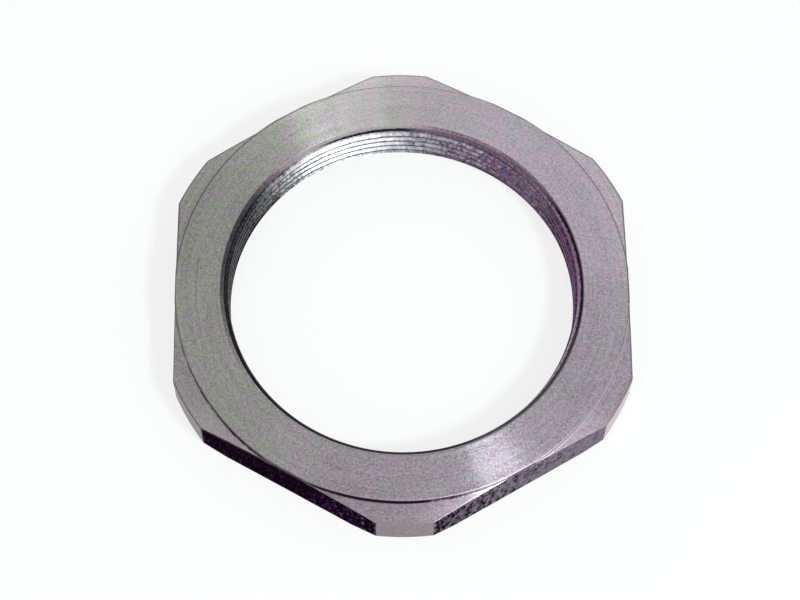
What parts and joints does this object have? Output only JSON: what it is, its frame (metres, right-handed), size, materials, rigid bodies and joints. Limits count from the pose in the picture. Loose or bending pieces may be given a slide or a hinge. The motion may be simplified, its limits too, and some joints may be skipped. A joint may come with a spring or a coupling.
{
  "type": "hub nut",
  "caption": "Thin hexagon nut with a raised round seat, turned corners and a fine right-hand thread, for holding a wheel hub and its bearings on an axle end.",
  "frame": {"origin": "centre of the plain face, on the bore's axis", "axes": "+Z along the bore and out of the raised seat, two corners on the Y axis, and two flats facing along X"},
  "size_m": [0.095, 0.1034, 0.012],
  "materials": {
    "steel": "turned bright on the faces, corners and bore, with dark rolling scale left on the flats"
  },
  "bodies": {
    "root": {"hub_nut": "steel"}
  },
  "joints": []
}
